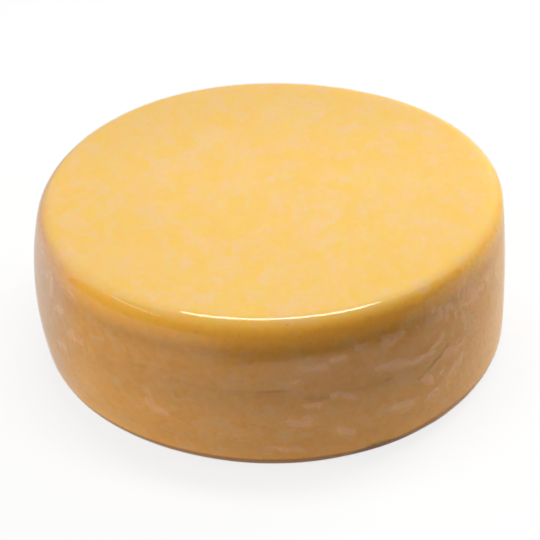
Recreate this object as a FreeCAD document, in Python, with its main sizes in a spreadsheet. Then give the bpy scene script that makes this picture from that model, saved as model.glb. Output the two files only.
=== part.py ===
"""A low round of Double Gloucester in a close clear bag, as one solid.

The wheel is slightly uneven, as a cloth-pressed cheese is: its side swells at
the belly and leans a little, its top slopes up towards +X, the shoulder is well
rounded, the base edge less so, and at the front right a short stretch of the
base edge is pinched in under the side.

Millimetres and degrees, +Z up. The wheel stands on z = 0, its front faces -Y,
and the origin is under the middle of its outline.
"""
import FreeCAD, Part
import os
import Sketcher

SHEET = "Dimensions"
NODE = "wrapped_wheel"

# alias, value, what it is
DIMENSIONS = (
    ("belly_diameter", "250", "widest diameter of the side"),
    ("wheel_height", "86", "height of the top at the axis"),
    ("belly_height", "39", "height of the widest section above the base"),
    ("base_inset", "2.6", "how far the side draws in at the base, on the radius"),
    ("crown_inset", "6.3", "how far the side draws in at the untrimmed crown, on the radius"),
    ("crown_headroom", "2.3", "how far the untrimmed crown stands above the top's highest point"),
    ("base_shift", "3.3", "how far the base lies towards +X from the belly"),
    ("crown_shift", "1.2", "how far the crown lies towards +X from the belly"),
    ("top_slope", "1.3", "slope of the top, in degrees, rising towards +X"),
    ("shoulder_radius", "10", "rounding between the side and the top"),
    ("base_edge_radius", "9", "rounding between the side and the base"),
    ("tuck_depth", "4.5", "how far the pinched stretch goes in from the base ring"),
    ("tuck_height", "5", "height of the pinched stretch's deepest line"),
    ("tuck_mouth", "2.5", "how far its mouth reaches above and below that line"),
    ("tuck_bearing", "-60", "direction of the pinched stretch, in degrees from +X"),
)


def make_sheet(doc):
    """Write each driving dimension into the sheet, with its alias and its meaning."""
    sheet = doc.addObject("Spreadsheet::Sheet", SHEET)
    for row, (alias, value, meaning) in enumerate(DIMENSIONS, start=1):
        sheet.set(f"A{row}", meaning)
        sheet.set(f"B{row}", value)
        sheet.setAlias(f"B{row}", alias)
    doc.recompute()
    return sheet


def origin_plane(body, role):
    """Return one of the body's own origin planes by its role."""
    return next(item for item in body.Origin.OriginFeatures if item.Role == role)


def new_sketch(body, role, name):
    """Start a sketch on one of the body's origin planes."""
    sketch = body.newObject("Sketcher::SketchObject", name)
    sketch.AttachmentSupport = [(origin_plane(body, role), "")]
    sketch.MapMode = "FlatFace"
    return sketch


def bind_distance(sketch, kind, places, expression):
    """Add a distance constraint and bind it to an expression over the sheet."""
    value = sketch.evalExpression(expression)
    number = sketch.addConstraint(Sketcher.Constraint(kind, *places, float(value)))
    sketch.setExpression(f"Constraints[{number}]", expression)


def ring_section(body, name, radius, shift, height):
    """Draw one level ring of the side: its radius, its shift along X and its height."""
    sketch = new_sketch(body, "XY_Plane", name)
    middle = FreeCAD.Vector(float(sketch.evalExpression(shift)), 0, 0)
    upright = FreeCAD.Vector(0, 0, 1)
    sketch.addGeometry(Part.Circle(middle, upright, float(sketch.evalExpression(radius))))
    sketch.addConstraint(Sketcher.Constraint("PointOnObject", 0, 3, -1))
    bind_distance(sketch, "DistanceX", (-1, 1, 0, 3), shift)
    bind_distance(sketch, "Radius", (0,), radius)
    sketch.setExpression("AttachmentOffset.Base.z", height)
    return sketch


def polygon_section(body, name, corners):
    """Draw a closed polygon on the upright XZ plane from pairs of expressions."""
    sketch = new_sketch(body, "XZ_Plane", name)
    points = []
    for across, up in corners:
        across_value = float(sketch.evalExpression(across))
        up_value = float(sketch.evalExpression(up))
        points.append(FreeCAD.Vector(across_value, up_value, 0))
    count = len(points)
    for index in range(count):
        sketch.addGeometry(Part.LineSegment(points[index], points[(index + 1) % count]))
    for index in range(count):
        after = (index + 1) % count
        sketch.addConstraint(Sketcher.Constraint("Coincident", index, 2, after, 1))
    for index, (across, up) in enumerate(corners):
        bind_distance(sketch, "DistanceX", (-1, 1, index, 1), across)
        bind_distance(sketch, "DistanceY", (-1, 1, index, 1), up)
    return sketch


def cut_across(body, name, sketch):
    """Cut the sketch's outline right through the wheel, both ways from its plane."""
    pocket = body.newObject("PartDesign::Pocket", name)
    pocket.Profile = sketch
    pocket.Type = "ThroughAll"
    pocket.SideType = "Symmetric"
    return pocket


def flat_face_edges(feature, highest):
    """Return the names of the edges round the highest or the lowest flat face."""
    shape = feature.Shape
    flats = [face for face in shape.Faces if isinstance(face.Surface, Part.Plane)]
    order = sorted(flats, key=lambda face: face.CenterOfMass.z, reverse=highest)
    names = []
    for number, edge in enumerate(shape.Edges, start=1):
        if any(edge.isSame(rim) for rim in order[0].Edges):
            names.append(f"Edge{number}")
    return names


def round_edges(body, name, feature, highest, radius):
    """Round the edges of the feature's highest or lowest flat face."""
    fillet = body.newObject("PartDesign::Fillet", name)
    fillet.Base = (feature, flat_face_edges(feature, highest))
    fillet.setExpression("Radius", radius)
    return fillet


def make_wheel(doc):
    """Build the wheel: lofted side, sloping top, rounded edges, pinched base edge."""
    body = doc.addObject("PartDesign::Body", NODE)
    body.Label = NODE

    rise = f"{SHEET}.belly_diameter / 2 * tan({SHEET}.top_slope * 1deg)"
    base = ring_section(
        body, "BaseRing",
        f"{SHEET}.belly_diameter / 2 - {SHEET}.base_inset", f"{SHEET}.base_shift", "0")
    belly = ring_section(
        body, "BellyRing",
        f"{SHEET}.belly_diameter / 2", "0", f"{SHEET}.belly_height")
    crown = ring_section(
        body, "CrownRing",
        f"{SHEET}.belly_diameter / 2 - {SHEET}.crown_inset", f"{SHEET}.crown_shift",
        f"{SHEET}.wheel_height + {rise} + {SHEET}.crown_headroom")
    side = body.newObject("PartDesign::AdditiveLoft", "Side")
    side.Profile = base
    side.Sections = [belly, crown]
    doc.recompute()

    above = f"{SHEET}.wheel_height + {SHEET}.belly_diameter"
    top_outline = polygon_section(body, "TopOutline", (
        (f"-{SHEET}.belly_diameter", f"{SHEET}.wheel_height - 2 * {rise}"),
        (f"{SHEET}.belly_diameter", f"{SHEET}.wheel_height + 2 * {rise}"),
        (f"{SHEET}.belly_diameter", above),
        (f"-{SHEET}.belly_diameter", above),
    ))
    top = cut_across(body, "SlopingTop", top_outline)
    doc.recompute()

    shoulder = round_edges(body, "Shoulder", top, True, f"{SHEET}.shoulder_radius")
    doc.recompute()
    edge = round_edges(body, "BaseEdge", shoulder, False, f"{SHEET}.base_edge_radius")
    doc.recompute()

    rim = (f"{SHEET}.belly_diameter / 2 - {SHEET}.base_inset"
           f" + {SHEET}.base_shift * cos({SHEET}.tuck_bearing * 1deg)")
    tuck_outline = polygon_section(body, "TuckOutline", (
        (f"{rim} - {SHEET}.tuck_depth", f"{SHEET}.tuck_height"),
        (f"{rim} + {SHEET}.tuck_depth", f"{SHEET}.tuck_height - 2 * {SHEET}.tuck_mouth"),
        (f"{rim} + {SHEET}.tuck_depth", f"{SHEET}.tuck_height + 2 * {SHEET}.tuck_mouth"),
    ))
    bearing = float(tuck_outline.evalExpression(f"{SHEET}.tuck_bearing"))
    turn = FreeCAD.Rotation(FreeCAD.Vector(0, 1, 0), bearing)
    tuck_outline.AttachmentOffset = FreeCAD.Placement(FreeCAD.Vector(), turn)
    tuck_outline.setExpression("AttachmentOffset.Rotation.Angle", f"{SHEET}.tuck_bearing * 1deg")
    body.Tip = edge
    tuck = cut_across(body, "Tuck", tuck_outline)
    doc.recompute()
    body.Tip = tuck
    return body


def centre_on_origin(doc, body):
    """Move the body so that the origin is under the middle of its outline."""
    middle = body.Shape.optimalBoundingBox().Center
    body.Placement.Base = FreeCAD.Vector(-middle.x, -middle.y, 0)
    doc.recompute()


def check(doc, body):
    """Stop if a feature failed, or the body isn't one whole solid."""
    for item in doc.Objects:
        if "Invalid" in item.State or "Error" in item.State:
            raise RuntimeError(f"{item.Name} did not build: {item.State}")
    shape = body.Shape
    if shape.isNull() or not shape.isValid() or len(shape.Solids) != 1:
        raise RuntimeError(f"{body.Label} is not one valid solid")


def main():
    doc = FreeCAD.newDocument("CheeseWheel")
    make_sheet(doc)
    body = make_wheel(doc)
    centre_on_origin(doc, body)
    check(doc, body)
    os.makedirs("parts", exist_ok=True)
    body.Shape.exportStep(os.path.join("parts", f"{body.Label}.step"))
    box = body.Shape.optimalBoundingBox()
    print(f"{body.Label}: {box.XLength:.2f} x {box.YLength:.2f} x {box.ZLength:.2f} mm, "
          f"{body.Shape.Volume / 1e6:.4f} litres")


main()
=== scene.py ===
"""The looks of a low round of Double Gloucester in clear film: cheese, film, studio, camera."""
import math

import bpy
import numpy as np
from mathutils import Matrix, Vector


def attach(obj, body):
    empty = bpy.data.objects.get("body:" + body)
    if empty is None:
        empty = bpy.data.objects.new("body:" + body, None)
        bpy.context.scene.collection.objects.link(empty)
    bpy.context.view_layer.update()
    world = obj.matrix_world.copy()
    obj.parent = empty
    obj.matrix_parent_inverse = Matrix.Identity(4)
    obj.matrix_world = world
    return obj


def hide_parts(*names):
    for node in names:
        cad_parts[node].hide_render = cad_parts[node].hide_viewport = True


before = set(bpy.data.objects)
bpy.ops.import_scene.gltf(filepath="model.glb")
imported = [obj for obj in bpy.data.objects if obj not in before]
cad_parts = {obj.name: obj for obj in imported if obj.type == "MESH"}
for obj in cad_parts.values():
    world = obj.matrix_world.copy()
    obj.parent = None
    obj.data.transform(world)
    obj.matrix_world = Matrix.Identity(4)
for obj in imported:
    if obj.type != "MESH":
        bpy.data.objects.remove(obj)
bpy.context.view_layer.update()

NODE = "wrapped_wheel"
MM = 0.001

# ---------------------------------------------------------------- the wheel's form
# The same sizes as the CAD solid's, in metres.
BELLY_RADIUS = 125 * MM
AXIS_HEIGHT = 86 * MM
BELLY_HEIGHT = 39 * MM
BASE_INSET = 2.6 * MM
CROWN_INSET = 6.3 * MM
CROWN_HEADROOM = 2.3 * MM
BASE_SHIFT = 3.3 * MM
CROWN_SHIFT = 1.2 * MM
TOP_SLOPE = math.tan(math.radians(1.3))
SHOULDER_RADIUS = 10 * MM
BASE_EDGE_RADIUS = 9 * MM

# The film lies this far outside the cheese.
FILM_GAP = 0.25 * MM

# How far the round is out of true: waves round it, each with its cosine and sine part.
OUT_OF_ROUND = {2: (-0.47 * MM, 0.93 * MM), 3: (0.67 * MM, 0.38 * MM), 4: (-0.30 * MM, 0.58 * MM)}

# The pinched stretch of the base edge: its overhanging lip as (bearing in degrees, height
# in mm), how far the foot goes in under it and how far the lip itself stands out.
LIP_LINE = ((-84, 3.2), (-76, 4.4), (-70, 6.8), (-65, 8.3), (-61, 7.3), (-57, 6.4),
            (-53, 5.4), (-48, 4.0), (-41, 3.2))
TUCK_INSET = 1.7 * MM
LIP_PROUD = 0.35 * MM
# How far the lip is rounded above its line, the drop over which the foot goes in, and the
# height at which it is back out.
LIP_ROUNDING = 1.8 * MM
LIP_EDGE = 0.4 * MM
FOOT_END = 1.5 * MM

# Rows of the mesh about the lip: shares of the way down to it, steps in mm below it, and
# shares of what is left from there to the floor.
ROWS_TO_LIP = (1 / 3, 2 / 3, 0.9, 1)
ROWS_UNDER_LIP = (0.13, 0.26, 0.4, 0.8, 1.3)
ROWS_TO_FLOOR = (0.8, 0.62, 0.46, 0.32, 0.2, 0.1, 0.04, 0)
# Points of the rounded base edge that the radius of those rows is read from.
EDGE_STEPS = 60

CROWN_HEIGHT = AXIS_HEIGHT + BELLY_RADIUS * TOP_SLOPE + CROWN_HEADROOM
RING_HEIGHTS = (0.0, BELLY_HEIGHT, CROWN_HEIGHT)
RADIUS_CURVE = np.polyfit(
    RING_HEIGHTS,
    (BELLY_RADIUS - BASE_INSET, BELLY_RADIUS, BELLY_RADIUS - CROWN_INSET), 2)
SHIFT_CURVE = np.polyfit(RING_HEIGHTS, (BASE_SHIFT, 0.0, CROWN_SHIFT), 2)
RADIUS_SLOPE = np.polyder(RADIUS_CURVE)


def unit(vectors):
    return vectors / np.linalg.norm(vectors, axis=-1, keepdims=True)


def soft_step(value):
    """0 below 0, 1 above 1, and smooth between."""
    value = np.clip(value, 0, 1)
    return value * value * (3 - 2 * value)


def fade(value, start, span):
    """0 up to the start, 1 from one span beyond it, and smooth between."""
    return soft_step((value - start) / span)


def hump(value, middle, spread):
    """A bell curve: 1 at the middle, about a third at one spread from it."""
    return np.exp(-((value - middle) / spread) ** 2)


def arc(start, corner, end, share):
    """A circular arc as a rational curve: start and end lie equally far from the corner."""
    inward = start - corner
    onward = end - corner
    cosine = (inward * onward).sum(-1) / (
        np.linalg.norm(inward, axis=-1) * np.linalg.norm(onward, axis=-1))
    weight = np.sqrt((1 - cosine) / 2)[:, None]
    first = (1 - share) ** 2
    middle = 2 * share * (1 - share) * weight
    last = share ** 2
    return (first * start + middle * corner + last * end) / (first + middle + last)


def reach(radius, one, other):
    """How far from a corner between two directions an arc of that radius touches them."""
    cosine = (one * other).sum(-1)
    half = np.arccos(np.clip(cosine, -1, 1)) / 2
    return radius / np.tan(half)


def side_point(height):
    """Points of the side's outline at these heights, as (radius, height)."""
    return np.stack([np.polyval(RADIUS_CURVE, height), height], -1)


def side_up(height):
    """Direction of the side's outline, going up, at these heights."""
    return unit(np.stack([np.polyval(RADIUS_SLOPE, height), np.ones_like(height)], -1))


def lip_height(azimuth):
    """Height of the lip over the pinched stretch, or where it would be beside it."""
    bearings, heights = zip(*LIP_LINE)
    return np.interp(np.degrees(azimuth), bearings, heights) * MM


def pinch(azimuth):
    """How fully the base edge is pinched in at each azimuth, from 0 to 1."""
    first, last = LIP_LINE[0][0], LIP_LINE[-1][0]
    share = (np.degrees(azimuth) - first) / (last - first)
    return np.where((share > 0) & (share < 1), np.sin(np.pi * np.clip(share, 0, 1)) ** 1.5, 0.0)


def foot_rows(azimuth, edge):
    """Rows from the side's end down to the floor, as (radius, height), close under the lip.

    edge is the rounded base edge in fine steps.
    """
    lip = lip_height(azimuth)
    start = edge[0, :, 1]
    heights = [start + share * (lip - start) for share in ROWS_TO_LIP]
    heights += [lip - drop * MM for drop in ROWS_UNDER_LIP]
    heights += [heights[-1] * share for share in ROWS_TO_FLOOR]
    heights = np.array(heights)
    radius = np.empty_like(heights)
    for column in range(len(azimuth)):
        up = edge[::-1, column]
        radius[:, column] = np.interp(heights[:, column], up[:, 1], up[:, 0])
    return np.stack([radius, heights], -1)


def shoulder_corner(crown, lean):
    """Start, corner and end of the rounded shoulder, as (radius, height).

    crown is the top's height at its middle, lean its slope outwards at each azimuth.
    """
    top_in = unit(np.stack([-np.ones_like(lean), -lean], -1))
    corner_height = crown + lean * BELLY_RADIUS
    end_height = corner_height - reach(SHOULDER_RADIUS, top_in, -side_up(corner_height))
    end = side_point(end_height)
    slope = side_up(end_height)
    # where the side's tangent meets the top
    climb = (crown + lean * end[:, 0] - end[:, 1]) / (slope[:, 1] - lean * slope[:, 0])
    corner = end + climb[:, None] * slope
    start = corner + np.linalg.norm(end - corner, axis=-1)[:, None] * top_in
    return start, corner, end


def base_edge_corner(zero):
    """Start, corner and end of the rounded base edge, as (radius, height)."""
    start_height = reach(BASE_EDGE_RADIUS, side_up(zero), np.stack([zero - 1, zero], -1))
    start = side_point(start_height)
    slope = side_up(start_height)
    corner = start - slope * (start[:, 1] / slope[:, 1])[:, None]
    end = corner - np.stack([np.linalg.norm(start - corner, axis=-1), zero], -1)
    return start, corner, end


def outline(azimuth, stations):
    """The wheel's outline at each azimuth, from the top's middle over the side to the base's.

    stations holds the shares for the top, shoulder, side and base.
    Returns radius and height with one row per station and one column per azimuth.
    """
    zero = np.zeros_like(azimuth)
    crown = AXIS_HEIGHT + TOP_SLOPE * np.polyval(SHIFT_CURVE, AXIS_HEIGHT)
    shoulder_start, corner, shoulder_end = shoulder_corner(crown, TOP_SLOPE * np.cos(azimuth))
    edge_start, base_corner, edge_end = base_edge_corner(zero)

    top, shoulder, side, base = stations
    middle = np.stack([zero, zero + crown], -1)
    rows = [middle + share * (shoulder_start - middle) for share in top]
    rows += [arc(shoulder_start, corner, shoulder_end, share) for share in shoulder]
    side_top, side_foot = shoulder_end[:, 1], edge_start[:, 1]
    rows += [side_point(side_top + share * (side_foot - side_top)) for share in side]
    edge = np.array([arc(edge_start, base_corner, edge_end, share)
                     for share in np.linspace(0, 1, EDGE_STEPS)])
    rows += list(foot_rows(azimuth, edge))
    rows += [rows[-1] * np.array([1 - share, 1.0]) for share in base]
    rows = np.array(rows)
    return rows[..., 0], rows[..., 1]


def tuck_in(azimuth, height, radius):
    """The radius with the lip standing out and the foot going in under it."""
    below = lip_height(azimuth) - height
    back_out = 1 - (below - LIP_EDGE) / (lip_height(azimuth) - LIP_EDGE - FOOT_END)
    under = soft_step(below / LIP_EDGE) * np.clip(back_out, 0, 1)
    proud = np.where(below <= 0, hump(below, 0, LIP_ROUNDING), 0.0)
    return radius + pinch(azimuth) * (LIP_PROUD * proud - TUCK_INSET * under)


def wheel_points(azimuth, stations):
    """The wheel's outer surface as a grid of points, rows by azimuths."""
    radius, height = outline(azimuth, stations)
    radius = tuck_in(azimuth, height, radius)
    across = np.polyval(SHIFT_CURVE, height) + radius * np.cos(azimuth)
    middle = (across.max() + across.min()) / 2
    waves = sum(cosine * np.cos(order * azimuth) + sine * np.sin(order * azimuth)
                for order, (cosine, sine) in OUT_OF_ROUND.items())
    growth = waves * radius / BELLY_RADIUS
    return np.stack([across - middle + growth * np.cos(azimuth),
                     (radius + growth) * np.sin(azimuth), height], -1)


def grid_normals(points):
    """Outward unit normals of a closed ring grid."""
    along = np.gradient(points, axis=0)
    around = np.roll(points, -1, axis=1) - np.roll(points, 1, axis=1)
    return unit(np.cross(along, around) + np.array([0, 0, 1e-12]))


# ---------------------------------------------------------------- relief
# The waves of a swell are this much shorter or longer than its size.
SWELL_SIZES = (0.7, 1.5)


def swell(points, size, seed, waves=32):
    """Smooth random relief about 0, mostly between -1 and 1, with humps about that size."""
    rng = np.random.default_rng(seed)
    total = 0
    for _ in range(waves):
        direction = unit(rng.normal(size=3)) * np.pi / (size * rng.uniform(*SWELL_SIZES))
        total = total + np.cos(points @ direction + rng.uniform(0, 2 * np.pi))
    return total * math.sqrt(1 / waves)


def stroke(azimuth, height, line, width, bow):
    """A soft line on the side, 1 along its middle.

    line is bearing, height, bearing, height in degrees and mm; width and bow are in mm.
    """
    first_bearing, first_height, last_bearing, last_height = line
    start = np.array([math.radians(first_bearing) * BELLY_RADIUS, first_height * MM])
    end = np.array([math.radians(last_bearing) * BELLY_RADIUS, last_height * MM])
    length = np.linalg.norm(end - start)
    run = (end - start) / length
    across = azimuth * BELLY_RADIUS - start[0]
    rise = height - start[1]
    share = (across * run[0] + rise * run[1]) / length
    off = across * run[1] - rise * run[0]
    off = off - bow * MM * 4 * share * (1 - share)
    beyond = np.maximum(np.maximum(-share, share - 1), 0) * length
    return np.exp(-(off ** 2 + beyond ** 2) / (width * MM) ** 2)


def strokes(azimuth, height, lines):
    """The strongest of several soft lines, each (line, width, strength, bow)."""
    total = 0
    for line, width, strength, bow in lines:
        total = np.maximum(total, strength * stroke(azimuth, height, line, width, bow))
    return total


# Creases pressed into the side by the mould and cloth, darkened with painted shade: line, width,
# strength, bow.
CREASES = (
    ((-98, 49.5, -92, 49.2), 0.5, 0.5, 0.2),
    ((-92, 49.3, -86, 49.7), 0.7, 0.9, -0.1),
    ((-82, 44.5, -77, 43.5), 1.2, 0.8, 0.2),
    ((-78.5, 44.2, -76, 44.4), 0.5, 0.7, 0.0),
    ((-112, 51, -62, 45), 1.4, 0.25, 1.5),
    ((-122, 52, -118, 54), 0.7, 0.6, 0.0),
    ((-63.4, 45.8, -62.3, 45.4), 1.0, 1.0, 0.0),
    ((-62.2, 68, -61.8, 67.6), 0.7, 1.0, 0.0),
    ((-44.4, 49.3, -51.3, 41), 0.45, 0.9, 0.0),
    ((-48.5, 45, -54, 38.5), 0.45, 0.8, 0.2),
    ((150, 44, 171, 47), 0.7, 0.6, 1.0),
    ((96, 50, 112, 48), 0.8, 0.6, 0.5),
    ((60, 40, 68, 42), 0.9, 0.7, 0.0),
    ((8, 55, 24, 52), 0.8, 0.5, 0.6),
)
# Pale patches where the film stands off the side, with painted light on the cheese beneath: line,
# width, strength, bow.
PALE_PATCHES = (
    ((-62.5, 67.5, -59.3, 69), 3.4, 1.1, 0.0),
    ((-58, 51, -50.5, 51), 1.8, 0.9, 0.5),
    ((-51, 51, -46, 57), 1.8, 0.8, 0.0),
    ((-65, 54.5, -58.5, 52.5), 2.0, 1.0, 0.0),
    ((-70.3, 70, -69.3, 70), 1.5, 0.8, 0.0),
    ((-76, 64.5, -73, 64.8), 2.0, 0.9, 0.0),
    ((-84, 62.3, -77.5, 61.3), 1.8, 0.6, 0.0),
    ((-86, 54.5, -83.5, 54.5), 2.5, 0.5, 0.0),
    ((-75.6, 44, -71, 42.5), 2.5, 0.7, 0.0),
    ((-82, 41.2, -78.6, 40.4), 2.2, 0.9, 0.0),
    ((-85, 31.5, -81.3, 31), 3.2, 0.9, 0.0),
    ((-75, 22, -72, 20.5), 3.0, 0.8, 0.0),
    ((-61.7, 28.3, -55.8, 25.6), 1.8, 1.0, 0.0),
    ((-58.8, 22.4, -57.8, 22.4), 1.3, 0.8, 0.0),
    ((-52.3, 38, -50.3, 33), 1.8, 0.9, 0.0),
    ((-47, 36, -46, 37), 1.5, 0.8, 0.0),
    ((-46, 44.5, -38.5, 44), 2.3, 0.8, 0.5),
    ((-40, 36, -43.3, 29.8), 1.6, 1.0, 0.3),
    ((-43.3, 29.8, -45, 24), 1.6, 0.8, 0.0),
    ((-48.5, 26.5, -51, 23), 1.6, 0.8, 0.0),
    ((-36.5, 73, -33, 64), 3.0, 0.9, 0.0),
    ((-49.5, 74, -47.5, 72.5), 1.8, 0.8, 0.0),
    ((-45, 71, -43, 69), 2.0, 0.8, 0.0),
    ((-90, 15, -83, 13), 1.3, 0.9, 0.0),
    ((-141, 50, -138, 50.5), 3.0, 0.9, 0.0),
    ((-146, 38, -145, 40), 3.0, 0.7, 0.0),
    ((-147, 58, -145, 60), 2.5, 0.8, 0.0),
    ((-144, 75, -140.5, 71), 1.3, 1.0, 0.0),
    ((-152, 70, -151, 62), 2.4, 0.9, 0.0),
    ((-134, 49, -133, 50), 2.0, 0.7, 0.0),
    ((-118, 33, -115, 31), 4.0, 0.8, 0.0),
)
# Folds of the film on the side: line, width, height in mm, bow.
FOLDS = (
    ((-43.8, 49.2, -50.7, 41.2), 0.5, 0.45, 0.0),
    ((-48, 44.2, -53.2, 38), 0.5, 0.4, 0.2),
    ((-55.2, 67, -53.6, 62.3), 0.5, 0.45, 0.2),
    ((-53.2, 65.5, -52.2, 61), 0.5, 0.35, 0.0),
    ((-48.8, 64.5, -47.3, 59.5), 0.5, 0.4, 0.3),
    ((-40.6, 59, -38.2, 64.5), 0.5, 0.5, 0.3),
    ((-44.8, 62.3, -42.7, 55), 0.55, 0.4, -0.4),
    ((-42.5, 59, -42.5, 68), 0.55, 0.35, 0.7),
    ((-48.5, 71, -47.5, 75), 0.6, 0.35, 0.0),
    ((-28, 57, -27, 63), 0.7, 0.4, 0.0),
    ((-25, 48, -25, 55), 0.7, 0.35, 0.0),
    ((-46, 55, -56, 50), 1.2, 0.3, 0.8),
    ((-39, 39, -44.5, 26), 1.1, 0.3, -1.4),
)
# Random lines: lengths in mm, usual turn from level with its spread, and bows in mm.
LINE_LENGTHS = (3, 9)
LINE_TURN, LINE_TURN_SPREAD = math.radians(75), 0.6
LINE_BOWS = (-0.6, 0.6)


def random_lines(count, seed, bearings, heights, widths, strengths):
    """Short lines at random places on the side, most of them rather upright."""
    rng = np.random.default_rng(seed)
    lines = []
    for _ in range(count):
        bearing = rng.uniform(*bearings)
        height = rng.uniform(*heights)
        length = rng.uniform(*LINE_LENGTHS)
        turn = rng.normal(LINE_TURN, LINE_TURN_SPREAD)
        across = math.degrees(length * MM * math.cos(turn) / BELLY_RADIUS)
        line = (bearing, height, bearing + across, height + length * math.sin(turn))
        lines.append((line, rng.uniform(*widths), rng.uniform(*strengths),
                      rng.uniform(*LINE_BOWS)))
    return tuple(lines)


# Each random_lines has a count, a seed, and the ranges of bearing, height, width and strength.
SIDE_FOLDS = (
    FOLDS
    + random_lines(14, 5, (-56, -16), (34, 74), (0.6, 1.2), (0.08, 0.2))
    + random_lines(16, 6, (120, 176), (12, 70), (0.5, 0.9), (0.15, 0.35))
    + random_lines(10, 7, (20, 80), (20, 70), (0.5, 0.9), (0.1, 0.3)))
SIDE_PATCHES = (
    PALE_PATCHES
    + random_lines(9, 8, (-50, -20), (56, 76), (1.2, 2.4), (0.5, 0.8))
    + random_lines(22, 9, (0, 185), (10, 74), (1.5, 3.5), (0.5, 0.9)))


# ---------------------------------------------------------------- meshes
# Azimuths over which the crowding is summed.
FINE_STEPS = 20001
# The side starts where the normal's upright part falls below this, and is full after the fade.
SIDE_STARTS, SIDE_FADE = 0.95, 0.4
# The far left starts at this share of the radius, and is full after the fade.
FAR_LEFT, FAR_LEFT_FADE = 0.72, 0.2


def crowded(count, middle, half_width, crowding):
    """Azimuths round the wheel, closer together around one bearing."""
    fine = np.linspace(-np.pi, np.pi, FINE_STEPS)
    away = np.abs(np.mod(fine - middle + np.pi, 2 * np.pi) - np.pi)
    # nearly even within the half width, and falling off steeply at its edge
    density = 1 + (crowding - 1) / (1 + (away / half_width) ** 6)
    share = np.concatenate([[0], np.cumsum((density[1:] + density[:-1]) / 2)])
    return np.interp(np.arange(count) / count, share / share[-1], fine)


def ring_faces(rows, columns):
    """Faces of a closed ring grid with a single point at each end."""
    here = np.arange(columns)
    after = (here + 1) % columns
    first = np.stack([np.zeros_like(here), 1 + here, 1 + after], -1)
    offset = 1 + columns * np.arange(rows - 3)[:, None]
    quads = np.stack([offset + here, offset + columns + here,
                      offset + columns + after, offset + after], -1).reshape(-1, 4)
    last_row = 1 + columns * (rows - 3)
    last = np.stack([last_row + after, last_row + here,
                     np.full_like(here, last_row + columns)], -1)
    return first.tolist() + quads.tolist() + last.tolist()


def ring_values(grid):
    """Grid values in the order of the mesh's points: end, rows, end."""
    inner = grid[1:-1].reshape((-1,) + grid.shape[2:])
    return np.concatenate([grid[:1].mean(1), inner, grid[-1:].mean(1)])


def make_piece(name, points, material, layers):
    """A closed mesh from a ring grid, with named values at its points for the material."""
    mesh = bpy.data.meshes.new(name)
    mesh.from_pydata(ring_values(points).tolist(), [], ring_faces(*points.shape[:2]))
    mesh.validate()
    mesh.update()
    mesh.polygons.foreach_set("use_smooth", [True] * len(mesh.polygons))
    mesh.materials.append(material)
    for layer_name, grid in layers.items():
        values = np.broadcast_to(grid, points.shape[:2])
        attribute = mesh.attributes.new(layer_name, "FLOAT", "POINT")
        attribute.data.foreach_set("value", ring_values(values).astype(np.float32))
    piece = bpy.data.objects.new(name, mesh)
    bpy.context.scene.collection.objects.link(piece)
    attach(piece, "root")
    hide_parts(NODE)
    return piece


def row_shares(counts):
    """Even shares of the way over the top, shoulder, side and base, so many rows for each."""
    top, *others = [np.arange(1, count + 1) / count for count in counts]
    return (np.concatenate([[0.0], top]), *others)


def on_side(normals):
    """1 on the side, 0 on the flat top and base, and smooth over the rounded edges."""
    return soft_step((SIDE_STARTS - np.abs(normals[..., 2])) / SIDE_FADE)


def far_left(points):
    """1 at the wheel's far left, 0 over the rest of it."""
    return fade(-points[..., 0] / BELLY_RADIUS, FAR_LEFT, FAR_LEFT_FADE)


# ---------------------------------------------------------------- the cheese
CHEESE_COLUMNS = 500
# Rows of the mesh over the top, shoulder, side and base.
CHEESE_ROWS = (56, 14, 84, 14)
# How far the cheese lies in beyond FILM_GAP, in mm, with the heights of its slow and quick
# waves, the range that they are held to, and the depth of a crease of strength 1.
CHEESE_INSET = 0.13
SLOW_WAVE, SLOW_SIZE = 0.10, 26 * MM
QUICK_WAVE, QUICK_SIZE = 0.03, 9 * MM
WAVE_RANGE = (-0.1, 0.3)
CREASE_DEPTH = 0.5
# Painted light: the side is lighter towards its foot, and loses a share of it at the front right.
FOOT_TOP, FOOT_FADE, FOOT_LIGHT = 5 * MM, 12 * MM, 0.22
FOOT_LOSS, RIGHT_STARTS, RIGHT_FADE = 0.8, -60, 25
# Painted shade: it is darker at its waist, in a band under the shoulder, and at the far left.
WAIST_HEIGHT, WAIST_SPREAD, WAIST_SHADE = 46 * MM, 13 * MM, 0.10
BAND_DROP, BAND_SPREAD, BAND_SHADE = 16 * MM, 5 * MM, 0.11
FAR_LEFT_SHADE = 0.19
# Painted shade: the top is a little darker towards the back and the left.
TOP_BACK_SHADE, TOP_LEFT_SHADE = 0.12, 0.05
# Painted shade in the creases, and painted light on the cheese under the film's pale patches.
CREASE_SHADE = 0.2
PATCH_LIGHT = 0.12
# Painted light: the amber rim goes this far down from the top, and loses strength at the left.
RIM_DEPTH, RIM_FADE = 6 * MM, 11 * MM
RIM_LOSS, RIM_LOSS_STARTS, RIM_LOSS_FADE = 0.7, 0.6, 0.35
# Painted shadow: the dark line where the wheel meets the floor, higher at the front right, darker
# in front.
CONTACT_HEIGHT, CONTACT_FADE = 7.4 * MM, 1.0 * MM
CONTACT_RISE, CONTACT_BEARING, CONTACT_SPREAD = 1.6 * MM, -44, 17
CONTACT_DARK, CONTACT_DARK_IN_FRONT = 0.4, 0.22
# Painted shadow: the dark hollow under the lip starts this far above the lip's line.
HOLLOW_DARK, HOLLOW_RISE, HOLLOW_SHARPNESS = 0.75, 0.2 * MM, 2.5


def drop_below_top(points):
    """How far each point lies below the plane of the sloping top."""
    return AXIS_HEIGHT + TOP_SLOPE * points[..., 0] - points[..., 2]


def painted_rim_light(points):
    """How strong the amber painted light on the shoulder is, below the top, from 0 to 1."""
    rim = 1 - fade(drop_below_top(points), RIM_DEPTH, RIM_FADE)
    loss = fade(-points[..., 0] / BELLY_RADIUS, RIM_LOSS_STARTS, RIM_LOSS_FADE)
    return rim * (1 - RIM_LOSS * loss)


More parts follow.
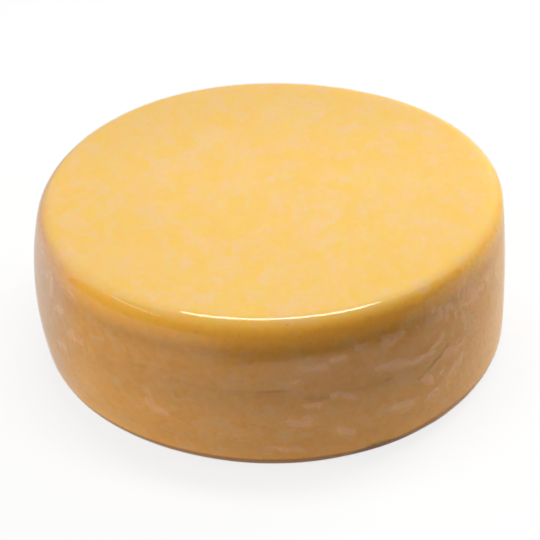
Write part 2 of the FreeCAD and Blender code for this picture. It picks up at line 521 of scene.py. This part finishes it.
def painted_cheese_shade(azimuth, points, side, grooves):
    """Painted light and shade over the cheese's side and its top, about 1."""
    height = points[..., 2]
    front = soft_step(-points[..., 1] / BELLY_RADIUS)
    back = soft_step(points[..., 1] / BELLY_RADIUS)
    left = soft_step(-points[..., 0] / BELLY_RADIUS)
    front_right = front * fade(np.degrees(azimuth), RIGHT_STARTS, RIGHT_FADE)
    foot = (1 - fade(height, FOOT_TOP, FOOT_FADE)) * (1 - FOOT_LOSS * front_right)
    waist = front * hump(height, WAIST_HEIGHT, WAIST_SPREAD)
    band = front * hump(drop_below_top(points), BAND_DROP, BAND_SPREAD)
    on_the_side = (FOOT_LIGHT * foot - WAIST_SHADE * waist - BAND_SHADE * band
                   - FAR_LEFT_SHADE * far_left(points))
    on_the_top = -TOP_BACK_SHADE * back - TOP_LEFT_SHADE * left
    shade = 1 + side * on_the_side + (1 - side) * on_the_top
    patches = side * strokes(azimuth, height, SIDE_PATCHES)
    return shade * (1 - CREASE_SHADE * grooves + PATCH_LIGHT * patches)


def painted_foot_shadow(azimuth, points):
    """The painted shadow under the lip and along the floor, from 0 to 1."""
    height = points[..., 2]
    front = soft_step(-points[..., 1] / BELLY_RADIUS)
    below_lip = soft_step((lip_height(azimuth) + HOLLOW_RISE - height) / LIP_EDGE)
    hollow = soft_step(HOLLOW_SHARPNESS * pinch(azimuth)) * below_lip
    rise = CONTACT_RISE * hump(np.degrees(azimuth), CONTACT_BEARING, CONTACT_SPREAD)
    contact = soft_step((CONTACT_HEIGHT + rise - height) / CONTACT_FADE)
    return np.maximum(HOLLOW_DARK * hollow,
                      (CONTACT_DARK + CONTACT_DARK_IN_FRONT * front) * contact)


def make_cheese():
    azimuth = np.linspace(-np.pi, np.pi, CHEESE_COLUMNS, endpoint=False)
    outer = wheel_points(azimuth, row_shares(CHEESE_ROWS))
    normals = grid_normals(outer)
    side = on_side(normals)
    grooves = side * strokes(azimuth, outer[..., 2], CREASES)
    relief = (SLOW_WAVE * swell(outer, SLOW_SIZE, seed=11)
              + QUICK_WAVE * swell(outer, QUICK_SIZE, seed=12))
    depth = CREASE_DEPTH * grooves + CHEESE_INSET + relief.clip(*WAVE_RANGE)
    points = outer - normals * (FILM_GAP + depth * MM)[..., None]
    flat = slice(-CHEESE_ROWS[-1] - 1, None)
    points[flat, :, 2] = outer[flat, :, 2] + FILM_GAP
    piece = make_piece("cheese", points, cheese_material(), {
        "side": side,
        "rim": painted_rim_light(outer),
        "shade": painted_cheese_shade(azimuth, outer, side, grooves),
        "dark": painted_foot_shadow(azimuth, outer)})


# ---------------------------------------------------------------- the film
FILM_COLUMNS = 590
FILM_ROWS = (14, 20, 98, 10)
# Its points are closest together about the folds at the front right.
CROWD_MIDDLE, CROWD_HALF_WIDTH, CROWDING = math.radians(-42), math.radians(26), 2.6
# Nothing that the film does runs quite straight: folds and patches wander by this much.
WANDER_SIZE = 6 * MM
FOLD_WANDER = 0.3 * MM
PATCH_WANDER, PATCH_DRIFT = 1.5 * MM, 1.3 * MM
# How slack the film is in mm, and how much more so at the front right and the back.
SLACK, SLACK_SIZE = 0.02, 14 * MM
LOOSE_SLACK, LOOSE_BEARING, LOOSE_SPREAD = 0.06, -36, 24
GATHERED_BEARING, GATHERED_SPREAD = -42, 20
# The far left is milky and shines, less so near the foot.
LEFT_HAZE, LEFT_AT_FOOT, LEFT_RISE_START, LEFT_RISE = 1.3, 0.35, 25 * MM, 40 * MM
# Patches lose a share towards the left; at the front right and back left there is a low
# mottle between them, each with its bearing, spread and strength.
PATCH_LOSS, PATCH_LOSS_STARTS, PATCH_LOSS_FADE = 0.35, 105, 20
MOTTLES = ((-36, 20, 0.28), (-160, 18, 0.3))
# The patches' value off the side, where there are none.
NO_PATCH = -2


def film_patches(azimuth, height, wander, drift):
    """How strong the pale patches are at each point."""
    bearing = np.degrees(azimuth)
    patches = strokes(azimuth + PATCH_WANDER * wander / BELLY_RADIUS,
                      height + PATCH_DRIFT * drift, SIDE_PATCHES)
    patches = patches * (1 - PATCH_LOSS * fade(-bearing, PATCH_LOSS_STARTS, PATCH_LOSS_FADE))
    for middle, spread, strength in MOTTLES:
        patches = patches + strength * hump(bearing, middle, spread)
    return patches


def make_film():
    azimuth = crowded(FILM_COLUMNS, CROWD_MIDDLE, CROWD_HALF_WIDTH, CROWDING)
    bearing = np.degrees(azimuth)
    points = wheel_points(azimuth, row_shares(FILM_ROWS))
    normals = grid_normals(points)
    height = points[..., 2]
    side = on_side(normals)
    wander = swell(points, WANDER_SIZE, seed=31)
    drift = swell(points, WANDER_SIZE, seed=32)
    folds = side * strokes(azimuth + FOLD_WANDER * wander / BELLY_RADIUS,
                           height + FOLD_WANDER * drift, SIDE_FOLDS)
    loose = hump(bearing, LOOSE_BEARING, LOOSE_SPREAD) + soft_step(points[..., 1] / BELLY_RADIUS)
    slack = side * (SLACK + LOOSE_SLACK * loose) * swell(points, SLACK_SIZE, seed=21)
    rising = LEFT_AT_FOOT + (1 - LEFT_AT_FOOT) * fade(height, LEFT_RISE_START, LEFT_RISE)
    sheen = side * far_left(points) * rising
    patches = film_patches(azimuth, height, wander, drift)
    points = points + normals * ((folds + slack) * MM)[..., None]
    points[-FILM_ROWS[-1] - 1:, :, 2] = 0
    piece = make_piece("film", points, film_material(), {
        "haze": folds + LEFT_HAZE * sheen,
        "gathered": side * hump(bearing, GATHERED_BEARING, GATHERED_SPREAD),
        "patches": side * (patches - NO_PATCH) + NO_PATCH,
        "sheen": sheen})


# ---------------------------------------------------------------- shader nodes
# A spot is whole out to the first share of its radius, and gone at the second.
SPOT_CORE, SPOT_EDGE = 0.6, 1.25


def new_material(name):
    material = bpy.data.materials.new(name)
    material.use_nodes = True
    material.node_tree.nodes.clear()
    return material, material.node_tree


def node(tree, kind, inputs=(), **settings):
    """Add a shader node; inputs are pairs of a socket and a value or another node's output."""
    made = tree.nodes.new("ShaderNode" + kind)
    for name, value in settings.items():
        setattr(made, name, value)
    for socket, value in inputs:
        if isinstance(value, bpy.types.NodeSocket):
            tree.links.new(value, made.inputs[socket])
        else:
            made.inputs[socket].default_value = value
    return made


def calculate(tree, operation, *values):
    """The output of a math node."""
    return node(tree, "Math", list(enumerate(values)), operation=operation).outputs[0]


def combine(tree, operation, first, second, output="Vector"):
    """The output of a vector math node on two vectors."""
    made = node(tree, "VectorMath", [(0, first), (1, second)], operation=operation)
    return made.outputs[output]


def remap(tree, value, low, high, start=0.0, end=1.0, smooth=False):
    """The value with low to high turned into start to end, and held beyond both."""
    return node(tree, "MapRange", [(0, value), (1, low), (2, high), (3, start), (4, end)],
                interpolation_type="SMOOTHSTEP" if smooth else "LINEAR").outputs[0]


def blend(tree, factor, first, second, mode="MIX"):
    """The output of a colour mix: first where factor is 0, second where it is 1."""
    return node(tree, "Mix", [(0, factor), (6, first), (7, second)],
                data_type="RGBA", blend_type=mode).outputs[2]


def mix_shaders(tree, factor, first, second):
    """The output of a shader mix: first where factor is 0, second where it is 1."""
    return node(tree, "MixShader", [(0, factor), (1, first), (2, second)]).outputs[0]


def ramp(tree, value, stops):
    """The output of a colour ramp through (position, colour) stops."""
    made = node(tree, "ValToRGB", [(0, value)])
    elements = made.color_ramp.elements
    while len(elements) < len(stops):
        elements.new(0.5)
    for element, (position, colour) in zip(elements, stops):
        element.position = position
        element.color = colour
    return made.outputs[0]


def layer(tree, name):
    """A value that the mesh carries at its points."""
    return node(tree, "Attribute", attribute_name=name).outputs["Fac"]


def in_millimetres(tree, stretch=(1.0, 1.0, 1.0)):
    """The place on the piece in millimetres, stretched along x, y and z."""
    place = node(tree, "TexCoord").outputs["Object"]
    scale = tuple(1000 * share for share in stretch)
    return node(tree, "Mapping", [("Vector", place), ("Scale", scale)]).outputs[0]


def grey(level):
    """A grey as a socket holds it, from 0 to 1."""
    return (level, level, level, 1.0)


def linear(red, green, blue):
    """An sRGB colour from 0 to 255 as the linear colour that a socket holds."""
    def one(value):
        value /= 255
        return value / 12.92 if value <= 0.04045 else ((value + 0.055) / 1.055) ** 2.4
    return (one(red), one(green), one(blue), 1.0)


def noise(tree, place, size, detail=2.0, output="Fac"):
    """Noise with humps about that many millimetres across."""
    made = node(tree, "TexNoise", [("Vector", place), ("Scale", 1 / size), ("Detail", detail)])
    return made.outputs[output]


def cells(tree, place, size):
    """A random value for each cell of a mosaic, cells about that many millimetres across."""
    made = node(tree, "TexVoronoi", [("Vector", place), ("Scale", 1 / size)])
    return node(tree, "SeparateColor", [(0, made.outputs["Color"])]).outputs[0]


def moved(tree, place, amount, size):
    """The place pushed about by noise, so that what is drawn there has ragged edges.

    amount and size are the push and the noise's humps in millimetres.
    """
    wobble = noise(tree, place, size, detail=3.0, output="Color")
    push = combine(tree, "SUBTRACT", wobble, (0.5, 0.5, 0.5))
    push = node(tree, "VectorMath", [(0, push), ("Scale", amount)], operation="SCALE").outputs[0]
    return combine(tree, "ADD", place, push)


def spot(tree, place, centre, radius):
    """1 in a soft round spot, 0 outside; centre and radius in millimetres."""
    away = combine(tree, "DISTANCE", place, centre, "Value")
    return remap(tree, away, SPOT_CORE * radius, SPOT_EDGE * radius, 1.0, 0.0, smooth=True)


# ---------------------------------------------------------------- the cheese's material
GOLDEN = linear(248, 199, 90)
TOP_MIDDLE = linear(247, 201, 106)
PEACH = linear(245, 201, 133)
SIDE_DEEP = linear(228, 161, 66)
SIDE_MIDDLE = linear(231, 166, 75)
SIDE_PALE = linear(229, 172, 101)
DARK_SPECK = linear(210, 152, 62)
ROSY = linear(246, 199, 126)
# The amber is painted light on the shoulder, the umber painted shadow at the foot.
RIM_LIGHT_AMBER = linear(254, 187, 72)
SHADOW_UMBER = linear(122, 66, 16)
TOP_COLOURS = ((0.28, GOLDEN), (0.5, TOP_MIDDLE), (0.78, PEACH))
SIDE_COLOURS = ((0.3, SIDE_DEEP), (0.52, SIDE_MIDDLE), (0.8, SIDE_PALE))
# Single marks on the top: centre and radius in mm, colour; and the push of their edges.
MARK_PUSH = (1.5, 3.0)
MARKS = (
    ((0, 9, 86), 3.4, PEACH),
    ((72, -89, 87), 5.0, ROSY),
    ((74, -87, 87), 0.45, DARK_SPECK),
    ((-16, -70, 86), 0.6, DARK_SPECK),
    ((-22, -81, 85.5), 0.5, DARK_SPECK),
    ((8, -118, 84), 0.5, DARK_SPECK),
)
# Pressed curds lie flat, so their pattern is squeezed in height.
CURD_STRETCH = (1.15, 0.85, 1.25)
CURD_PUSH = (7.0, 5.0)
# What makes up the mosaic's tone: size in mm and share.
CURD_SIZE, CURD_SHARE = 9.0, 0.34
CRUMB_SIZE, CRUMB_SHARE = 4.0, 0.26
CLOUD_SIZE, CLOUD_SHARE = 22.0, 0.45
FLECK_SIZE, FLECK_STARTS, FLECK_FULL, FLECK_SHARE = 3.2, 0.56, 0.7, 0.7
# The side's grain, from noise that lies mostly between the two values. Red light travels
# furthest in the cheese and blurs it, so red's grain is the strongest.
GRAIN_SIZE, GRAIN_PUSH, GRAIN = 3.6, (3.0, 3.0), 0.025
GRAIN_LOW, GRAIN_HIGH = 0.3, 0.7
GRAIN_BY_CHANNEL = (1.5, 1.0, 0.9)
BUMP_SIZE, BUMP_SHARE, BUMP_STRENGTH, BUMP_HEIGHT = 3.0, 0.6, 0.5, 0.2 * MM
ROUGHNESS_RANGE = (0.5, 0.7)
SPECULAR = 0.15
SCATTER_WEIGHT, SCATTER_REACH, SCATTER_BY_CHANNEL = 0.8, 9 * MM, (1.0, 0.38, 0.12)


def curd_tone(tree, ragged):
    """The mosaic's tone: curds, smaller crumbs and a slow cloud, added up."""
    tone = calculate(tree, "MULTIPLY", cells(tree, ragged, CURD_SIZE), CURD_SHARE)
    crumbs = cells(tree, ragged, CRUMB_SIZE)
    tone = calculate(tree, "MULTIPLY_ADD", crumbs, CRUMB_SHARE, tone)
    cloud = noise(tree, ragged, CLOUD_SIZE, detail=5.0)
    return calculate(tree, "MULTIPLY_ADD", cloud, CLOUD_SHARE, tone)


def curd_colour(tree, tone, ragged, true_mm):
    """The mosaic's colours on the top and the side, with the amber rim of painted light and the
    marks.
    """
    top_colour = ramp(tree, tone, TOP_COLOURS)
    fleck = remap(tree, noise(tree, ragged, FLECK_SIZE), FLECK_STARTS, FLECK_FULL)
    fleck = calculate(tree, "MULTIPLY", fleck, FLECK_SHARE)
    top_colour = blend(tree, fleck, top_colour, GOLDEN)
    side_colour = ramp(tree, tone, SIDE_COLOURS)
    side_colour = blend(tree, layer(tree, "rim"), side_colour, RIM_LIGHT_AMBER)
    colour = blend(tree, layer(tree, "side"), top_colour, side_colour)
    for centre, radius, tint in MARKS:
        mark = spot(tree, moved(tree, true_mm, *MARK_PUSH), centre, radius)
        colour = blend(tree, mark, colour, tint)
    return colour


def shaded(tree, colour, true_mm):
    """The colour with the side's fine grain, the painted light and shade, and the painted shadow
    at the foot.
    """
    grain = noise(tree, moved(tree, true_mm, *GRAIN_PUSH), GRAIN_SIZE, detail=2.5)
    grain = remap(tree, grain, GRAIN_LOW, GRAIN_HIGH, -GRAIN, GRAIN)
    grain = calculate(tree, "MULTIPLY", grain, layer(tree, "side"))
    factors = []
    for channel, strength in enumerate(GRAIN_BY_CHANNEL):
        factor = calculate(tree, "MULTIPLY_ADD", grain, strength, 1.0)
        factors.append((channel, calculate(tree, "MULTIPLY", layer(tree, "shade"), factor)))
    factors = node(tree, "CombineColor", factors).outputs[0]
    colour = blend(tree, 1.0, colour, factors, "MULTIPLY")
    return blend(tree, layer(tree, "dark"), colour, SHADOW_UMBER)


def cheese_material():
    """Pressed curds: a low mosaic of golden and peach bits, browner and flatter on the side."""
    material, tree = new_material("mottled_cheese")
    true_mm = in_millimetres(tree)
    ragged = moved(tree, in_millimetres(tree, CURD_STRETCH), *CURD_PUSH)
    tone = curd_tone(tree, ragged)
    colour = shaded(tree, curd_colour(tree, tone, ragged, true_mm), true_mm)
    pits = noise(tree, ragged, BUMP_SIZE, detail=5.0)
    height = calculate(tree, "MULTIPLY_ADD", pits, BUMP_SHARE, tone)
    bump = node(tree, "Bump", [
        ("Strength", BUMP_STRENGTH), ("Distance", BUMP_HEIGHT), ("Height", height)])
    shader = node(tree, "BsdfPrincipled", [
        ("Base Color", colour), ("Roughness", remap(tree, tone, 0.0, 1.0, *ROUGHNESS_RANGE)),
        ("Normal", bump.outputs[0]), ("Specular IOR Level", SPECULAR),
        ("Subsurface Weight", SCATTER_WEIGHT), ("Subsurface Radius", SCATTER_BY_CHANNEL),
        ("Subsurface Scale", SCATTER_REACH)])
    node(tree, "OutputMaterial", [(0, shader.outputs[0])])
    return material


# ---------------------------------------------------------------- the film's material
MILKY = (1.0, 0.69, 0.43, 1)
# How ragged the patches' edges are, and at which sum they start and are full.
PATCH_RAGGED_SIZE, PATCH_RAGGEDNESS, PATCH_PUSH = 3.5, 1.6, (4.0, 4.0)
PATCH_STARTS, PATCH_FULL, PATCH_MILKINESS = 0.95, 1.5, 0.27
FOLD_MILKINESS = 0.16
# The film's share of gloss: head on, what a slant adds, and what the shiny left adds.
GLOSS_HEAD_ON, GLOSS_AT_SLANT, GLOSS_AT_LEFT = 0.04, 0.5, 0.11
SLANT_POWER = 5.0
GLOSS_ROUGHNESS = 0.045
# The film's ripple: size in mm, height, push, and its strength everywhere and where gathered.
RIPPLE_SIZE, RIPPLE_HEIGHT, RIPPLE_PUSH = 2.4, 0.5 * MM, (6.0, 8.0)
RIPPLE_STRENGTH, RIPPLE_WHERE_GATHERED = 0.012, 0.5


def film_body(tree, mm):
    """The film without its gloss: clear, and milky along its folds and in its patches."""
    clear = node(tree, "BsdfTransparent").outputs[0]
    milky = node(tree, "BsdfDiffuse", [("Color", MILKY)]).outputs[0]
    ragged = noise(tree, moved(tree, mm, *PATCH_PUSH), PATCH_RAGGED_SIZE, detail=3.0)
    patch = calculate(tree, "MULTIPLY_ADD", ragged, PATCH_RAGGEDNESS, layer(tree, "patches"))
    patch = remap(tree, patch, PATCH_STARTS, PATCH_FULL, 0.0, PATCH_MILKINESS)
    haze = calculate(tree, "MULTIPLY_ADD", layer(tree, "haze"), FOLD_MILKINESS, patch)
    return mix_shaders(tree, haze, clear, milky)


def film_gloss(tree, mm):
    """The film's gloss, rippled most where the film is gathered."""
    ripple = noise(tree, moved(tree, mm, *RIPPLE_PUSH), RIPPLE_SIZE, detail=3.0)
    strength = calculate(tree, "MULTIPLY_ADD", layer(tree, "gathered"),
                         RIPPLE_WHERE_GATHERED, RIPPLE_STRENGTH)
    bump = node(tree, "Bump", [
        ("Strength", strength), ("Distance", RIPPLE_HEIGHT), ("Height", ripple)])
    return node(tree, "BsdfGlossy", [
        ("Roughness", GLOSS_ROUGHNESS), ("Normal", bump.outputs[0])]).outputs[0]


def film_material():
    """Clear film: see-through, glossy at a slant, a little milky along its folds."""
    material, tree = new_material("clear_film")
    mm = in_millimetres(tree)
    facing = node(tree, "LayerWeight", [("Blend", 0.5)]).outputs["Facing"]
    slant = calculate(tree, "POWER", facing, SLANT_POWER)
    share = calculate(tree, "MULTIPLY_ADD", slant, GLOSS_AT_SLANT, GLOSS_HEAD_ON)
    share = calculate(tree, "MULTIPLY_ADD", layer(tree, "sheen"), GLOSS_AT_LEFT, share)
    shader = mix_shaders(tree, share, film_body(tree, mm), film_gloss(tree, mm))
    node(tree, "OutputMaterial", [(0, shader)])
    return material


# ---------------------------------------------------------------- studio
SEEN_RAYS = ("Is Camera Ray", "Is Glossy Ray", "Is Transmission Ray")
FLOOR_HEIGHT = -FILM_GAP
FLOOR_REACH = 6.0
FLOOR_WHITE = 0.95
SHADOW_STRENGTH = 0.19
# What the floor bounces back as light, on the paper and past it.
PAPER_BOUNCE, DARK_BOUNCE = 0.8, 0.01
# The wheel stands on white paper whose round front edge lies this far out.
PAPER_MIDDLE = (21 * MM, -116 * MM, FLOOR_HEIGHT)
PAPER_RADIUS = 163 * MM
PAPER_FADE = 8 * MM
# The paper ends only in front, within these angles of this direction.
PAPER_OPEN = (math.cos(math.radians(-65)), math.sin(math.radians(-65)), 0)
PAPER_OPENING = math.radians(76)
PAPER_OPEN_FULLY = math.radians(42)
CLOTH_BLACK = 0.01
# The tent's radius and lift off the floor, and its first and last bearing and rise in degrees.
TENT_RADIUS, TENT_LIFT = 2.5, 1 * MM
TENT_COLUMNS, TENT_BEARINGS = 40, (-190, 10)
TENT_ROWS, TENT_RISES = 12, (0, 88)
WORLD_FILL = 0.12
# Lamps: name, place, width and height, power in watts, and whether the film reflects it.
LAMPS = (
    ("key", (0.04, 0.26, 1.5), (1.0, 0.27), 13.0, True),
    ("left_strip", (-1.0, -0.24, 1.03), (0.72, 0.07), 0.75, True),
    ("left", (-1.2, -0.2, 0.6), (0.6, 0.6), 2.3, False),
    ("left_front", (-1.0, -0.75, 0.5), (0.6, 0.6), 4.7, False),
    ("right", (1.2, -0.2, 0.6), (0.6, 0.6), 3.0, False),
    ("right_back", (0.9, 0.8, 0.5), (0.6, 0.6), 9.5, False),
)
# The camera's place is set out from CAMERA_CENTRE, and it aims a little below that point.
LENS, SENSOR_WIDTH = 124.05, 36
CAMERA_DISTANCE = 0.986
CAMERA_ELEVATION = math.radians(33.69)
CAMERA_CENTRE = Vector((-0.4 * MM, 0, 44.1 * MM))
AIM_SHIFT = Vector((0.2 * MM, 0, -9.4 * MM))


def seen(tree):
    """1 for the rays that show the background, as it is or in a gloss, and 0 for the rest."""
    path = node(tree, "LightPath")
    value = path.outputs[SEEN_RAYS[0]]
    for name in SEEN_RAYS[1:]:
        value = calculate(tree, "MAXIMUM", value, path.outputs[name])
    return value


def stage_object(name, points, faces, material):
    mesh = bpy.data.meshes.new(name)
    mesh.from_pydata(points, [], faces)
    mesh.materials.append(material)
    stage = bpy.data.objects.new(name, mesh)
    bpy.context.scene.collection.objects.link(stage)
    return stage


def beyond_paper(tree):
    """1 on the floor in front, past the white paper, and 0 on the paper."""
    place = node(tree, "NewGeometry").outputs["Position"]
    away = combine(tree, "SUBTRACT", place, PAPER_MIDDLE)
    distance = node(tree, "VectorMath", [(0, away)], operation="LENGTH").outputs["Value"]
    outside = remap(tree, distance, PAPER_RADIUS, PAPER_RADIUS + PAPER_FADE)
    ahead = combine(tree, "DOT_PRODUCT", away, PAPER_OPEN, "Value")
    ahead = calculate(tree, "DIVIDE", ahead, distance)
    in_front = remap(tree, ahead, math.cos(PAPER_OPENING), math.cos(PAPER_OPEN_FULLY),
                     smooth=True)
    return calculate(tree, "MULTIPLY", outside, in_front)


def make_floor():
    """A white floor with a light shadow; past the paper its gloss and bounce are dark."""
    material, tree = new_material("floor_paper")
    paper = node(tree, "BsdfDiffuse", [("Color", grey(FLOOR_WHITE))]).outputs[0]
    white = node(tree, "Emission", [("Strength", 1.0)]).outputs[0]
    bright = mix_shaders(tree, SHADOW_STRENGTH, white, paper)
    dark = beyond_paper(tree)
    bounce = blend(tree, dark, grey(PAPER_BOUNCE), grey(DARK_BOUNCE))
    unseen = node(tree, "BsdfDiffuse", [("Color", bounce)]).outputs[0]
    to_camera = node(tree, "LightPath").outputs["Is Camera Ray"]
    mirrored = calculate(tree, "MULTIPLY", seen(tree), calculate(tree, "SUBTRACT", 1.0, dark))
    shown = calculate(tree, "MAXIMUM", to_camera, mirrored)
    node(tree, "OutputMaterial", [(0, mix_shaders(tree, shown, unseen, bright))])
    corners = [(across * FLOOR_REACH, deep * FLOOR_REACH, FLOOR_HEIGHT)
               for across, deep in ((-1, -1), (1, -1), (1, 1), (-1, 1))]
    stage_object("floor", corners, [(0, 1, 2, 3)], material)


def make_dark_flag():
    """A tent of black cloth over the front and sides, that only the gloss reflects."""
    material, tree = new_material("black_cloth")
    cloth = node(tree, "BsdfDiffuse", [("Color", grey(CLOTH_BLACK))])
    node(tree, "OutputMaterial", [(0, cloth.outputs[0])])
    bearings = np.radians(np.linspace(*TENT_BEARINGS, TENT_COLUMNS))
    rises = np.radians(np.linspace(*TENT_RISES, TENT_ROWS))
    points = [(TENT_RADIUS * math.cos(rise) * math.cos(bearing),
               TENT_RADIUS * math.cos(rise) * math.sin(bearing),
               TENT_RADIUS * math.sin(rise) + TENT_LIFT)
              for rise in rises for bearing in bearings]
    faces = []
    for corner in range(len(points) - TENT_COLUMNS):
        if corner % TENT_COLUMNS != TENT_COLUMNS - 1:
            above = corner + TENT_COLUMNS
            faces.append((corner, corner + 1, above + 1, above))
    flag = stage_object("dark_flag", points, faces, material)
    flag.visible_camera = False
    flag.visible_diffuse = False
    flag.visible_shadow = False
    flag.visible_transmission = False


def make_world():
    """White where it is seen, and a weak fill for the rest."""
    world = bpy.data.worlds.new("studio")
    bpy.context.scene.world = world
    world.use_nodes = True
    tree = world.node_tree
    tree.nodes.clear()
    fill = node(tree, "Background", [("Color", grey(1.0)), ("Strength", WORLD_FILL)]).outputs[0]
    white = node(tree, "Background", [("Color", grey(1.0)), ("Strength", 1.0)]).outputs[0]
    node(tree, "OutputWorld", [(0, mix_shaders(tree, seen(tree), fill, white))])


def make_lamp(name, place, size, power, in_gloss):
    """A soft lamp aimed at the middle of the top; in_gloss says whether the film reflects it."""
    data = bpy.data.lights.new(name, "AREA")
    data.shape = "RECTANGLE"
    data.size, data.size_y = size
    data.energy = power
    lamp = bpy.data.objects.new(name, data)
    lamp.location = place
    aim = Vector((0, 0, AXIS_HEIGHT)) - Vector(place)
    lamp.rotation_euler = aim.to_track_quat("-Z", "Y").to_euler()
    lamp.visible_glossy = in_gloss
    bpy.context.scene.collection.objects.link(lamp)


def make_camera():
    data = bpy.data.cameras.new("camera")
    data.lens = LENS
    data.sensor_width = SENSOR_WIDTH
    camera = bpy.data.objects.new("camera", data)
    outward = Vector((0, -math.cos(CAMERA_ELEVATION), math.sin(CAMERA_ELEVATION)))
    camera.location = CAMERA_CENTRE + CAMERA_DISTANCE * outward
    aim = CAMERA_CENTRE + AIM_SHIFT - camera.location
    camera.rotation_euler = aim.to_track_quat("-Z", "Y").to_euler()
    bpy.context.scene.collection.objects.link(camera)
    bpy.context.scene.camera = camera


make_camera()
make_cheese()
make_film()
make_floor()
make_dark_flag()
make_world()
for lamp in LAMPS:
    make_lamp(*lamp)
bpy.context.scene.view_settings.view_transform = "Standard"
